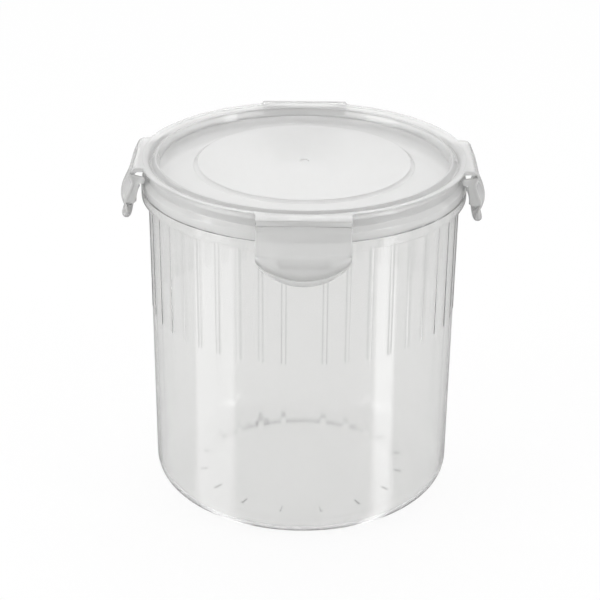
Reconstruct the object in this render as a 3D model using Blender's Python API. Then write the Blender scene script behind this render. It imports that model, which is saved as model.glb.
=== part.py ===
"""Round clip-lid canister in clear plastic, modelled piece by piece at its real size.

The container, the lid, the seal ring in the lid's channel, the four clip flaps and the four
film hinges that carry them are separate solids. All lengths are in metres, +Z is up, the
origin is the centre of the foot ring and the front flap faces -Y. The lid is shut and the
flaps hang unlatched, leaning outwards as film hinges leave them.
"""

from math import atan2, cos, pi, radians, sin, sqrt

import bmesh
import bpy

MM = 0.001

# Container
BASE_RADIUS = 62.7 * MM
WALL_DRAFT = 1.15 * MM
WALL = 1.4 * MM
FLOOR = 1.6 * MM
CORNER_RADIUS = 9.9 * MM
FOOT_WIDTH = 5.9 * MM
PANEL_RISE = 1.5 * MM
PANEL_SLOPE = 1.0 * MM
FLANGE_LEVEL = 129.3 * MM
FLANGE_HEIGHT = 4.2 * MM
FLANGE_REACH = 2.95 * MM
FLANGE_ROUND = 0.5 * MM
UNDERCUT_FILLET = 1.2 * MM
NECK_SETBACK = 0.95 * MM
NECK_HEIGHT = 5.7 * MM
RIM_WALL = 1.4 * MM
RIM_ROUND = 0.4 * MM

# Grip ribs on the container's wall
RIBS_PER_QUARTER = 10
RIB_MARGIN_ANGLE = radians(7.3)
RIB_SHIFT_ANGLE = radians(0.6)
RIB_LENGTH = 49.4 * MM
RIB_WIDTH = 2.1 * MM
RIB_HEIGHT = 0.4 * MM
RIB_EDGE = 0.3 * MM

# Raised marks on the floor
TICK_COUNT = 16
TICK_LENGTH = 3.4 * MM
TICK_WIDTH = 0.9 * MM
TICK_HEIGHT = 0.4 * MM
TICK_MARGIN = 1.6 * MM
RING_MARK_RADIUS = 2.4 * MM
RING_MARK_WIDTH = 1.1 * MM
RING_MARK_HEIGHT = 0.9 * MM
RING_MARK_ANGLE = radians(115.5)

# Seal ring
SEAL_HEIGHT = 2.1 * MM
SEAL_ROUND = 0.5 * MM
SEAL_GAP = 0.3 * MM

# Lid
SHOULDER_WALL = 1.5 * MM
BEAD_RISE = 1.6 * MM
BEAD_WIDTH = 0.9 * MM
BEAD_SET_IN = 0.63 * MM
BEAD_SLOPE = 0.8 * MM
BEAD_FOOT = 1.4 * MM
PANEL_DEPTH = 3.7 * MM
PLATE = 1.4 * MM
DISC_RADIUS = 43.66 * MM
DISC_RISE = 1.26 * MM
DISC_SLOPE = 1.7 * MM
GATE_RADIUS = 1.6 * MM
GATE_DEPTH = 0.35 * MM
PLUG_GAP = 0.8 * MM
PLUG_WALL = 1.8 * MM
PLUG_DEPTH = 3.0 * MM
PLUG_ROUND = 0.4 * MM
SKIRT_GAP = 0.4 * MM
SKIRT_WALL = 1.4 * MM
SKIRT_SETBACK = 0.4 * MM
SKIRT_CLEARANCE = 0.4 * MM
SKIRT_ROUND = 0.3 * MM
COVE_DEPTH = 0.35 * MM
STEP_HEIGHT = 1.8 * MM
STEP_LEVEL = 3.4 * MM

# Lip round the lid's top, beyond a valley outside the bead, and the tabs that carry the hinges
LIP_REACH = 2.05 * MM
LIP_RISE = 1.9 * MM
LIP_THICKNESS = 1.9 * MM
LIP_ROUND = 0.45 * MM
RAMP_START = 0.5 * MM
RAMP = 2.9 * MM
TAB_WIDTH = 36.8 * MM
TAB_STEP = 0.15 * MM
TAB_ROUND = 3.0 * MM
TAB_TURN = radians(60)
TAB_FILLET = 3.0 * MM

# Film hinges
FILM_SPAN = 1.0 * MM
FILM_THICKNESS = 0.34 * MM
FILM_GAP = 0.3 * MM
FILM_MARGIN = 0.9 * MM

# Clip flaps, measured latched, from the hinge axis
FLAP_LEANS = {"front": radians(13), "right": radians(10.5), "back": radians(13), "left": radians(14)}
FLAP_WALL = 1.7 * MM
FLAP_BULGE = 1.6 * MM
TONGUE_LENGTH = 12.4 * MM
TONGUE_DRAW_IN = 5.0 * MM
HOOK_LEAN = radians(14)
HOOK_RADIUS = 1.35 * MM
HOOK_WALL = 1.3 * MM
HOOK_TIP = 1.3 * MM
CATCH_CLEARANCE = 0.4 * MM
CATCH_BITE = 1.6 * MM
CATCH_HEIGHT = 1.8 * MM
CATCH_LENGTH = 20.0 * MM
CATCH_SLOPE = 0.6 * MM
SIDE_RIB_WALL = 1.3 * MM
SIDE_RIB_CLEARANCE = 0.5 * MM
SIDE_RIB_INSET = 0.1 * MM
SIDE_RIB_ROUND = 1.2 * MM

# Shares of the flap's height above the catch, and of its bulge, along the wall's middle line
UPPER_HEIGHT_SHARES = (0.077, 0.149, 0.266, 0.440, 0.600, 0.750, 0.880)
UPPER_BULGE_SHARES = (0.060, 0.100, 0.160, 0.310, 0.570, 0.850, 1.000)
# Shares of the tongue's length below the catch, and of how far it draws in
TONGUE_HEIGHT_SHARES = (0.20, 0.42, 0.58, 0.72, 0.89)
TONGUE_DRAW_SHARES = (0.08, 0.37, 0.68, 0.87, 1.00)
TONGUE_CORNER_SHARE = 0.15
TONGUE_ROUND_SHARE = 0.6
CROWN_START_SHARE = 0.32
# Shares of the ramp from the lid's valley up to its lip
RAMP_REACH_SHARES = (0.00, 0.28, 0.59, 1.00)
RAMP_RISE_SHARES = (0.00, 0.57, 0.86, 1.00)

# How finely round shapes are faceted, and how shapes are closed and shaded
TURN_STEPS = 64
ARC_STEPS = 6
EDGE_STEPS = 3
BEND_STEPS = 4
UNDER_BEND_STEPS = 2
FLAP_COLUMNS = 10
HOOK_STEPS = 6
MERGE_DISTANCE = 0.001 * MM
SHARP_ANGLE = radians(35)

# Colours and roughness of the three plastics
CLEAR_COLOUR = (0.90, 0.90, 0.89, 1)
CLEAR_ROUGHNESS = 0.12
LID_COLOUR = (0.86, 0.86, 0.85, 1)
LID_ROUGHNESS = 0.2
RUBBER_COLOUR = (0.93, 0.93, 0.92, 1)
RUBBER_ROUGHNESS = 0.55

# Where things sit, worked out from the sizes above
WALL_TOP_RADIUS = BASE_RADIUS + WALL_DRAFT
NECK_RADIUS = WALL_TOP_RADIUS - NECK_SETBACK
FLANGE_RADIUS = WALL_TOP_RADIUS + FLANGE_REACH
FLANGE_TOP = FLANGE_LEVEL + FLANGE_HEIGHT
RIM_TOP = FLANGE_TOP + NECK_HEIGHT
NECK_INNER = NECK_RADIUS - RIM_WALL
CHANNEL_CEILING = RIM_TOP + SEAL_GAP + SEAL_HEIGHT + SEAL_GAP
VALLEY_LEVEL = CHANNEL_CEILING + SHOULDER_WALL
BEAD_TOP = VALLEY_LEVEL + BEAD_RISE
PANEL_TOP = BEAD_TOP - PANEL_DEPTH
SKIRT_INNER = NECK_RADIUS + SKIRT_GAP
SHOULDER_RADIUS = SKIRT_INNER + SKIRT_WALL
SKIRT_RADIUS = FLANGE_RADIUS - SKIRT_SETBACK
SKIRT_BOTTOM = FLANGE_TOP + SKIRT_CLEARANCE
PLUG_OUTER = NECK_INNER - PLUG_GAP
LIP_TOP = VALLEY_LEVEL + LIP_RISE
LIP_BOTTOM = LIP_TOP - LIP_THICKNESS
LIP_CREST = SHOULDER_RADIUS + LIP_REACH
RAMP_RADIUS = PLUG_OUTER - BEAD_SET_IN + BEAD_WIDTH + BEAD_FOOT + RAMP_START
TAB_TOP = LIP_TOP + TAB_STEP
TAB_UNDER = TAB_TOP - LIP_THICKNESS
TAB_INNER = RAMP_RADIUS + RAMP
TAB_END_X = LIP_CREST + TAB_ROUND * sin(TAB_TURN)
TAB_END_Z = TAB_TOP - TAB_ROUND + TAB_ROUND * cos(TAB_TURN)
FILM_REACH = FILM_GAP + FILM_SPAN / 2
HINGE_RADIUS = TAB_END_X + FILM_REACH * cos(TAB_TURN) - FILM_THICKNESS / 2 * sin(TAB_TURN)
HINGE_LEVEL = TAB_END_Z - FILM_REACH * sin(TAB_TURN) - FILM_THICKNESS / 2 * cos(TAB_TURN)
CATCH_TOP = FLANGE_LEVEL - CATCH_CLEARANCE
CATCH_DROP = HINGE_LEVEL - CATCH_TOP
FLAP_CROWN_RADIUS = HINGE_RADIUS + FLAP_BULGE
HALF_WIDTH = TAB_WIDTH / 2

SIDES = {"front": -pi / 2, "right": 0.0, "back": pi / 2, "left": pi}


# Helpers

def arc(centre_x, centre_z, radius, start, end, steps=ARC_STEPS):
    """Points of a circular arc in the profile plane, both ends included."""
    turns = [start + (end - start) * step / steps for step in range(steps + 1)]
    return [(centre_x + radius * cos(turn), centre_z + radius * sin(turn)) for turn in turns]


def smooth(share):
    """A smooth step from 0 to 1."""
    held = min(max(share, 0.0), 1.0)
    return held * held * (3 - 2 * held)


def plastic(name, colour, roughness):
    """A moulded plastic finish."""
    material = bpy.data.materials.new(name)
    material.use_nodes = True
    shader = material.node_tree.nodes["Principled BSDF"]
    shader.inputs["Base Color"].default_value = colour
    shader.inputs["Roughness"].default_value = roughness
    shader.inputs["Metallic"].default_value = 0
    return material


def add_object(name, mesh, material=None):
    """Puts a mesh in the scene as a named object, shaded smooth but for its real edges."""
    item = bpy.data.objects.new(name, mesh)
    bpy.context.collection.objects.link(item)
    if material is not None:
        mesh.materials.append(material)
    mesh.shade_smooth()
    mesh.set_sharp_from_angle(angle=SHARP_ANGLE)
    return item


def turned(name, profile, material, closed=False):
    """Turns a profile about the Z axis. It runs down its outer side, top to bottom."""
    mesh = bpy.data.meshes.new(name)
    sketch = bmesh.new()
    points = [sketch.verts.new((radius, 0, height)) for radius, height in profile]
    for first, second in zip(points, points[1:]):
        sketch.edges.new((first, second))
    if closed:
        sketch.edges.new((points[-1], points[0]))
    bmesh.ops.spin(
        sketch, geom=sketch.verts[:] + sketch.edges[:], cent=(0, 0, 0), axis=(0, 0, 1),
        angle=2 * pi, steps=TURN_STEPS, use_merge=True)
    bmesh.ops.remove_doubles(sketch, verts=sketch.verts, dist=MERGE_DISTANCE)
    bmesh.ops.recalc_face_normals(sketch, faces=sketch.faces)
    sketch.to_mesh(mesh)
    sketch.free()
    return add_object(name, mesh, material)


def loft(sketch, rings):
    """Joins rings of equally many points into one closed body, with a face at each end."""
    rows = [[sketch.verts.new(point) for point in ring] for ring in rings]
    count = len(rows[0])
    for near, far in zip(rows, rows[1:]):
        for index in range(count):
            after = (index + 1) % count
            sketch.faces.new((near[index], near[after], far[after], far[index]))
    sketch.faces.new(rows[0][::-1])
    sketch.faces.new(rows[-1])


def finish_sketch(sketch, name):
    """Makes a mesh of a sketch whose bodies are closed, with its faces pointing out."""
    bmesh.ops.recalc_face_normals(sketch, faces=sketch.faces)
    mesh = bpy.data.meshes.new(name)
    sketch.to_mesh(mesh)
    sketch.free()
    return mesh


def join_to(target, operand):
    """Unites an operand's bodies with a target and keeps the operand out of the model."""
    operand.hide_render = True
    operand.display_type = "WIRE"
    union = target.modifiers.new("join_" + operand.name, "BOOLEAN")
    union.operation = "UNION"
    union.solver = "EXACT"
    union.object = operand


# Container

def wall_radius(height):
    """Outer radius of the container's drafted wall at a height."""
    return BASE_RADIUS + (WALL_TOP_RADIUS - BASE_RADIUS) * height / FLANGE_LEVEL


def container_profile():
    """Profile of the container, from the middle of its floor over the rim to its underside."""
    corner_middle = wall_radius(CORNER_RADIUS) - CORNER_RADIUS
    inner_round = CORNER_RADIUS - FLOOR
    inner_middle = wall_radius(CORNER_RADIUS) - WALL - inner_round
    foot_inner = corner_middle - FOOT_WIDTH
    panel_radius = foot_inner - PANEL_SLOPE
    slope_shift = FLOOR / 2
    fillet_middle = wall_radius(FLANGE_LEVEL) + UNDERCUT_FILLET
    inside = [
        (0, FLOOR + PANEL_RISE),
        (panel_radius + slope_shift, FLOOR + PANEL_RISE),
        (foot_inner + slope_shift, FLOOR),
    ]
    inside += arc(inner_middle, CORNER_RADIUS, inner_round, -pi / 2, 0)
    inside += [
        (wall_radius(FLANGE_LEVEL) - WALL, FLANGE_LEVEL),
        (NECK_INNER, FLANGE_TOP),
        (NECK_INNER, RIM_TOP - RIM_ROUND),
        (NECK_INNER + RIM_ROUND, RIM_TOP),
    ]
    outside = [
        (NECK_RADIUS - RIM_ROUND, RIM_TOP),
        (NECK_RADIUS, RIM_TOP - RIM_ROUND),
        (NECK_RADIUS, FLANGE_TOP),
        (FLANGE_RADIUS - FLANGE_ROUND, FLANGE_TOP),
        (FLANGE_RADIUS, FLANGE_TOP - FLANGE_ROUND),
        (FLANGE_RADIUS, FLANGE_LEVEL + FLANGE_ROUND),
        (FLANGE_RADIUS - FLANGE_ROUND, FLANGE_LEVEL),
    ]
    outside += arc(
        fillet_middle, FLANGE_LEVEL - UNDERCUT_FILLET, UNDERCUT_FILLET, pi / 2, pi, ARC_STEPS // 2)
    outside += arc(corner_middle, CORNER_RADIUS, CORNER_RADIUS, 0, -pi / 2)
    outside += [(foot_inner, 0), (panel_radius, PANEL_RISE), (0, PANEL_RISE)]
    return inside + outside


def rib_outline(width, bottom, top):
    """Outline of a rib seen square on: straight sides and a round lower end."""
    half = width / 2
    low = arc(0, bottom + half, half, -pi, 0, ARC_STEPS // 2)
    return low + [(half, top), (-half, top)]


def add_grip_ribs(sketch):
    """Adds the grip ribs, in four groups that leave a gap behind each flap."""
    spacing = (pi / 2 - 2 * RIB_MARGIN_ANGLE) / (RIBS_PER_QUARTER - 1)
    bottom = FLANGE_LEVEL - RIB_LENGTH
    top = FLANGE_LEVEL + FLANGE_ROUND
    levels = (
        (-WALL / 2, RIB_WIDTH, bottom),
        (RIB_HEIGHT - RIB_EDGE, RIB_WIDTH, bottom),
        (RIB_HEIGHT, RIB_WIDTH - 2 * RIB_EDGE, bottom + RIB_EDGE),
    )
    for quarter in range(len(SIDES)):
        for number in range(RIBS_PER_QUARTER):
            turn = quarter * pi / 2 + RIB_MARGIN_ANGLE + RIB_SHIFT_ANGLE + number * spacing
            rings = []
            for stand_out, width, low in levels:
                ring = []
                for across, height in rib_outline(width, low, top):
                    reach = wall_radius(height) + stand_out
                    ring.append((
                        reach * cos(turn) - across * sin(turn),
                        reach * sin(turn) + across * cos(turn),
                        height))
                rings.append(ring)
            loft(sketch, rings)


def add_floor_marks(sketch):
    """Adds a circle of plain ticks and one plain ring to the raised floor panel."""
    floor = FLOOR + PANEL_RISE
    panel_edge = wall_radius(CORNER_RADIUS) - CORNER_RADIUS - FOOT_WIDTH - PANEL_SLOPE
    outer = panel_edge - TICK_MARGIN
    for number in range(TICK_COUNT):
        turn = 2 * pi * (number + 0.5) / TICK_COUNT
        rings = []
        for height in (floor - FLOOR / 2, floor + TICK_HEIGHT):
            ring = []
            for reach, across in (
                    (outer - TICK_LENGTH, -TICK_WIDTH / 2), (outer, -TICK_WIDTH / 2),
                    (outer, TICK_WIDTH / 2), (outer - TICK_LENGTH, TICK_WIDTH / 2)):
                ring.append((
                    reach * cos(turn) - across * sin(turn),
                    reach * sin(turn) + across * cos(turn),
                    height))
            rings.append(ring)
        loft(sketch, rings)
    reach = outer - RING_MARK_RADIUS
    middle = (reach * cos(RING_MARK_ANGLE), reach * sin(RING_MARK_ANGLE))
    section = (
        (RING_MARK_RADIUS, floor - FLOOR / 2),
        (RING_MARK_RADIUS, floor + RING_MARK_HEIGHT),
        (RING_MARK_RADIUS - RING_MARK_WIDTH, floor + RING_MARK_HEIGHT),
        (RING_MARK_RADIUS - RING_MARK_WIDTH, floor - FLOOR / 2),
    )
    steps = 2 * ARC_STEPS
    rows = []
    for step in range(steps):
        turn = 2 * pi * step / steps
        rows.append([
            sketch.verts.new((middle[0] + radius * cos(turn), middle[1] + radius * sin(turn), height))
            for radius, height in section])
    for step in range(steps):
        near = rows[step]
        far = rows[(step + 1) % steps]
        for index in range(len(section)):
            after = (index + 1) % len(section)
            sketch.faces.new((near[index], near[after], far[after], far[index]))


def build_container(material):
    """The clear container with its foot ring, latch flange, neck, grip ribs and floor marks."""
    container = turned("container", container_profile(), material)
    for name, add_bodies in (("grip_ribs", add_grip_ribs), ("floor_marks", add_floor_marks)):
        sketch = bmesh.new()
        add_bodies(sketch)
        operand = add_object(name, finish_sketch(sketch, name))
        join_to(container, operand)
    return container


# Lid

def lid_profile():
    """Profile of the lid, from the middle of its top over the bead and skirt to its underside."""
    bead_inner = PLUG_OUTER - BEAD_SET_IN
    bead_outer = bead_inner + BEAD_WIDTH
    bead_round = BEAD_WIDTH / 4
    gate_rim = GATE_RADIUS + GATE_DEPTH
    disc_top = PANEL_TOP + DISC_RISE
    step_top = SKIRT_BOTTOM + STEP_LEVEL + STEP_HEIGHT
    step_low = SKIRT_BOTTOM + STEP_LEVEL
    cove_level = (LIP_BOTTOM + step_top) / 2
    skirt_low_inner = SKIRT_RADIUS - SKIRT_WALL
    under_panel = PANEL_TOP - PLATE
    under_disc = disc_top - PLATE
    plug_bottom = under_panel - PLUG_DEPTH
    plug_inner = PLUG_OUTER - PLUG_WALL
    top = [
        (0, disc_top - GATE_DEPTH),
        (GATE_RADIUS, disc_top - GATE_DEPTH),
        (gate_rim, disc_top),
        (DISC_RADIUS, disc_top),
        (DISC_RADIUS + DISC_SLOPE, PANEL_TOP),
        (bead_inner - BEAD_SLOPE, PANEL_TOP),
        (bead_inner - bead_round, BEAD_TOP - bead_round),
        (bead_inner + bead_round, BEAD_TOP),
        (bead_outer, BEAD_TOP - bead_round),
        (bead_outer + BEAD_FOOT, VALLEY_LEVEL),
    ]
    lip = [
        (RAMP_RADIUS + RAMP * reach, VALLEY_LEVEL + LIP_RISE * rise)
        for reach, rise in zip(RAMP_REACH_SHARES, RAMP_RISE_SHARES)]
    lip += arc(LIP_CREST, LIP_TOP - LIP_ROUND, LIP_ROUND, pi / 2, 0, EDGE_STEPS)
    lip += arc(LIP_CREST, LIP_BOTTOM + LIP_ROUND, LIP_ROUND, 0, -pi / 2, EDGE_STEPS)
    skirt = [
        (SHOULDER_RADIUS, LIP_BOTTOM),
        (SHOULDER_RADIUS - COVE_DEPTH, cove_level),
        (SHOULDER_RADIUS, step_top),
        (SKIRT_RADIUS, step_low),
        (SKIRT_RADIUS, SKIRT_BOTTOM + SKIRT_ROUND),
        (SKIRT_RADIUS - SKIRT_ROUND, SKIRT_BOTTOM),
        (skirt_low_inner, SKIRT_BOTTOM),
        (skirt_low_inner, step_low - STEP_HEIGHT / 2),
        (SKIRT_INNER, step_top - STEP_HEIGHT / 2),
        (SKIRT_INNER, CHANNEL_CEILING),
    ]
    plug = [
        (PLUG_OUTER, CHANNEL_CEILING),
        (PLUG_OUTER, plug_bottom + PLUG_ROUND),
        (PLUG_OUTER - PLUG_ROUND, plug_bottom),
        (plug_inner + PLUG_ROUND, plug_bottom),
        (plug_inner, plug_bottom + PLUG_ROUND),
        (plug_inner, under_panel),
    ]
    under = [
        (DISC_RADIUS + DISC_SLOPE, under_panel),
        (DISC_RADIUS, under_disc),
        (0, under_disc),
    ]
    return top + lip + skirt + plug + under


def place(x, across, height, turn):
    """A point of a tab, turned to its place on the lid."""
    return (x * cos(turn) - across * sin(turn), x * sin(turn) + across * cos(turn), height)


def at_radius(radius, across):
    """How far out a circle about the canister's axis is, at a distance from a tab's middle."""
    return sqrt(radius * radius - across * across)


def tab_section(across):
    """Closed outline of a tab: from inside the lip over the top, round to the film, back below."""
    inner = at_radius(TAB_INNER, across)
    top = [(inner, LIP_TOP - TAB_STEP), (at_radius(LIP_CREST - LIP_ROUND, across), TAB_TOP)]
    middle_z = TAB_TOP - TAB_ROUND
    bend = arc(LIP_CREST, middle_z, TAB_ROUND, pi / 2, pi / 2 - TAB_TURN, BEND_STEPS)
    under_bend = arc(
        LIP_CREST, middle_z, TAB_ROUND - LIP_THICKNESS, pi / 2 - TAB_TURN, pi / 2, UNDER_BEND_STEPS)
    return top + bend + under_bend + [(inner, TAB_UNDER)]


def add_tab(sketch, turn):
    """Adds one hinge tab, a straight-ended tongue of the lip that rounds over to the film."""
    rings = []
    for step in range(-ARC_STEPS, ARC_STEPS + 1):
        across = HALF_WIDTH * step / ARC_STEPS
        rings.append([place(x, across, height, turn) for x, height in tab_section(across)])
    loft(sketch, rings)


def add_gusset(sketch, turn, side):
    """Adds the fillet in the corner between a tab's side and the lip's edge."""
    fillet_y = HALF_WIDTH + TAB_FILLET
    fillet_x = at_radius(LIP_CREST + TAB_FILLET, fillet_y)
    meets = pi + atan2(fillet_y, fillet_x)
    edge = arc(fillet_x, fillet_y, TAB_FILLET, 3 * pi / 2, meets, BEND_STEPS)
    edge = [(fillet_x, HALF_WIDTH - SIDE_RIB_WALL)] + edge
    top = TAB_TOP - TAB_STEP / 2
    low = TAB_UNDER - TAB_STEP / 2
    rings = []
    for x, across in edge:
        inner = at_radius(TAB_INNER, across)
        section = ((inner, top - TAB_STEP), (x, top), (x, low), (inner, low))
        rings.append([place(out, side * across, height, turn) for out, height in section])
    loft(sketch, rings)


def build_lid(material):
    """The lid with its raised disc, bead, lip, channel, skirt and four hinge tabs."""
    lid = turned("lid", lid_profile(), material)
    tabs = bmesh.new()
    gussets = bmesh.new()
    for turn in SIDES.values():
        add_tab(tabs, turn)
        for side in (-1, 1):
            add_gusset(gussets, turn, side)
    join_to(lid, add_object("tabs", finish_sketch(tabs, "tabs")))
    join_to(lid, add_object("gussets", finish_sketch(gussets, "gussets")))
    return lid


def build_seal(material):
    """The soft ring that fills the lid's channel above the container's rim."""
    inner = PLUG_OUTER + SEAL_GAP
    outer = SKIRT_INNER - SEAL_GAP
    low = RIM_TOP + SEAL_GAP
    high = low + SEAL_HEIGHT
    profile = [
        (inner + SEAL_ROUND, high), (outer - SEAL_ROUND, high), (outer, high - SEAL_ROUND),
        (outer, low + SEAL_ROUND), (outer - SEAL_ROUND, low), (inner + SEAL_ROUND, low),
        (inner, low + SEAL_ROUND), (inner, high - SEAL_ROUND)]
    return turned("seal_ring", profile, material, closed=True)


# Flaps. Their own frame has the hinge axis at its origin, +X outwards and +Z up, latched.

def flap_middle_line():
    """Middle line of the flap's wall and hook at its centre, with the wall's thickness."""
    line = [
        (FLAP_BULGE * bulge, -CATCH_DROP * height, FLAP_WALL)
        for bulge, height in zip(UPPER_BULGE_SHARES, UPPER_HEIGHT_SHARES)]
    hip_x, hip_z, _ = line[-1]
    tongue = TONGUE_LENGTH - HOOK_RADIUS
    for draw, height in zip(TONGUE_DRAW_SHARES, TONGUE_HEIGHT_SHARES):
        wall = FLAP_WALL + (HOOK_WALL - FLAP_WALL) * height
        line.append((hip_x - TONGUE_DRAW_IN * draw, hip_z - tongue * height, wall))
    start_x, start_z, _ = line[-1]
    heading = -pi / 2 - HOOK_LEAN
    middle_x = start_x + HOOK_RADIUS * cos(heading + pi / 2)
    middle_z = start_z + HOOK_RADIUS * sin(heading + pi / 2)
    hook = arc(middle_x, middle_z, HOOK_RADIUS, heading - pi / 2, heading + pi / 2, HOOK_STEPS)
    line += [(x, z, HOOK_WALL) for x, z in hook[1:]]
    end_x, end_z = hook[-1]
    line.append((end_x - HOOK_TIP * cos(heading), end_z - HOOK_TIP * sin(heading), HOOK_WALL))
    return line


def crown(across):
    """How far a curve round the canister falls back at a distance from the flap's middle."""
    return FLAP_CROWN_RADIUS - at_radius(FLAP_CROWN_RADIUS, across)


def flap_column(across):
    """Middle line of the flap at a distance from its centre, where the tongue is shorter."""
    line = flap_middle_line()
    hip = len(UPPER_HEIGHT_SHARES) - 1
    hip_x, hip_z, _ = line[hip]
    inside = max(1 - (across / HALF_WIDTH) ** 2, 0)
    curve = TONGUE_ROUND_SHARE * sqrt(inside) + (1 - TONGUE_ROUND_SHARE) * inside
    share = TONGUE_CORNER_SHARE + (1 - TONGUE_CORNER_SHARE) * curve
    column = []
    for number, (x, z, wall) in enumerate(line):
        if number > hip:
            x = hip_x + (x - hip_x) * share
            z = hip_z + (z - hip_z) * share
            wall = wall * share
        back = crown(across) * smooth(-z / (CATCH_DROP * CROWN_START_SHARE))
        column.append((x - back, z, wall))
    return column


def flap_section(across):
    """Closed outline of the flap's wall at a distance from its centre."""
    column = flap_column(across)
    outer = []
    inner = []
    for number, (x, z, wall) in enumerate(column):
        before = column[max(number - 1, 0)]
        after = column[min(number + 1, len(column) - 1)]
        heading = atan2(after[1] - before[1], after[0] - before[0])
        shift_x = -sin(heading) * wall / 2
        shift_z = cos(heading) * wall / 2
        outer.append((x + shift_x, z + shift_z))
        inner.append((x - shift_x, z - shift_z))
    return outer + inner[::-1]


def wall_middle(across, depth):
    """Where the middle of the flap's wall is, at a depth below the hinge."""
    column = flap_column(across)
    for (x0, z0, _), (x1, z1, _) in zip(column, column[1:]):
        if z1 <= -depth <= z0:
            return x0 + (x1 - x0) * (z0 + depth) / (z0 - z1)
    return column[len(UPPER_HEIGHT_SHARES) - 1][0]


def add_catch(sketch):
    """Adds the bar that hooks under the container's flange."""
    tip_radius = FLANGE_RADIUS - CATCH_BITE
    half = CATCH_LENGTH / 2
    rings = []
    for step in range(ARC_STEPS + 1):
        across = half * (2 * step / ARC_STEPS - 1)
        tip = at_radius(tip_radius, across) - HINGE_RADIUS
        top = CATCH_DROP
        low = CATCH_DROP + CATCH_HEIGHT
        rings.append([
            (tip, across, -top),
            (wall_middle(across, top), across, -top),
            (wall_middle(across, low), across, -low),
            (tip + CATCH_SLOPE, across, -low)])
    loft(sketch, rings)


def add_side_rib(sketch, side):
    """Adds the stiffening wall along one side of the flap, clear of the flange when latched."""
    outer = HALF_WIDTH - SIDE_RIB_INSET
    inner = outer - SIDE_RIB_WALL
    edge = at_radius(FLANGE_RADIUS + SIDE_RIB_CLEARANCE, inner) - HINGE_RADIUS
    tab_under = TAB_TOP - TAB_ROUND + (TAB_ROUND - LIP_THICKNESS) * cos(TAB_TURN)
    top = HINGE_LEVEL - tab_under + SIDE_RIB_CLEARANCE
    bottom = CATCH_DROP * UPPER_HEIGHT_SHARES[-1]
    depths = [top] + [CATCH_DROP * share for share in UPPER_HEIGHT_SHARES[2:]]
    rings = []
    for across in (side * inner, side * outer):
        ring = [(wall_middle(across, depth), across, -depth) for depth in depths]
        ring.append((edge + SIDE_RIB_ROUND, across, -bottom))
        ring.append((edge, across, SIDE_RIB_ROUND - bottom))
        ring.append((edge, across, -top))
        rings.append(ring)
    loft(sketch, rings)


def build_flap(side, turn, material):
    """One clip flap, hung on its hinge axis and leaning outwards."""
    sketch = bmesh.new()
    rings = []
    for step in range(FLAP_COLUMNS + 1):
        across = HALF_WIDTH * sin(pi / 2 * (2 * step / FLAP_COLUMNS - 1))
        rings.append([(x, across, z) for x, z in flap_section(across)])
    loft(sketch, rings)
    name = "flap_" + side
    flap = add_object(name, finish_sketch(sketch, name), material)
    sketch = bmesh.new()
    add_catch(sketch)
    for edge in (-1, 1):
        add_side_rib(sketch, edge)
    operand_name = "catch_and_ribs_" + side
    operand = add_object(operand_name, finish_sketch(sketch, operand_name))
    for item in (flap, operand):
        item.location = (HINGE_RADIUS * cos(turn), HINGE_RADIUS * sin(turn), HINGE_LEVEL)
        item.rotation_euler = (0, -FLAP_LEANS[side], turn)
    join_to(flap, operand)
    return flap


def build_film(side, turn, material):
    """One film hinge: the thin web on the hinge axis, between the tab and the flap."""
    sketch = bmesh.new()
    half_span = FILM_SPAN / 2
    half_height = FILM_THICKNESS / 2
    half_width = HALF_WIDTH - FILM_MARGIN
    rings = [
        [(-half_span, across, -half_height), (half_span, across, -half_height),
         (half_span, across, half_height), (-half_span, across, half_height)]
        for across in (-half_width, half_width)]
    loft(sketch, rings)
    name = "film_hinge_" + side
    film = add_object(name, finish_sketch(sketch, name), material)
    film.location = (HINGE_RADIUS * cos(turn), HINGE_RADIUS * sin(turn), HINGE_LEVEL)
    film.rotation_euler = (0, TAB_TURN, turn)
    return film


def main():
    """Builds every piece of the canister."""
    for item in list(bpy.data.objects):
        bpy.data.objects.remove(item, do_unlink=True)
    clear = plastic("clear_plastic", CLEAR_COLOUR, CLEAR_ROUGHNESS)
    haze = plastic("lid_plastic", LID_COLOUR, LID_ROUGHNESS)
    rubber = plastic("seal_rubber", RUBBER_COLOUR, RUBBER_ROUGHNESS)
    build_container(clear)
    build_lid(haze)
    build_seal(rubber)
    for side, turn in SIDES.items():
        build_flap(side, turn, haze)
        build_film(side, turn, haze)


main()
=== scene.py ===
"""Looks of a round clip-lid canister in clear, slightly hazy plastic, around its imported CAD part.

The container, the lid, the seal ring, the four clip flaps and the four film hinges are drawn
finer than the CAD solids that they stand for, in the same places. All lengths are in metres,
+Z is up, the origin is the centre of the foot ring and the front flap faces -Y.
"""

from __future__ import annotations

import logging
from dataclasses import dataclass
from enum import Enum
from math import atan2, cos, pi, radians, sin, sqrt, tan
from typing import Sequence

import bmesh
import bpy
from mathutils import Matrix, Vector

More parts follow.
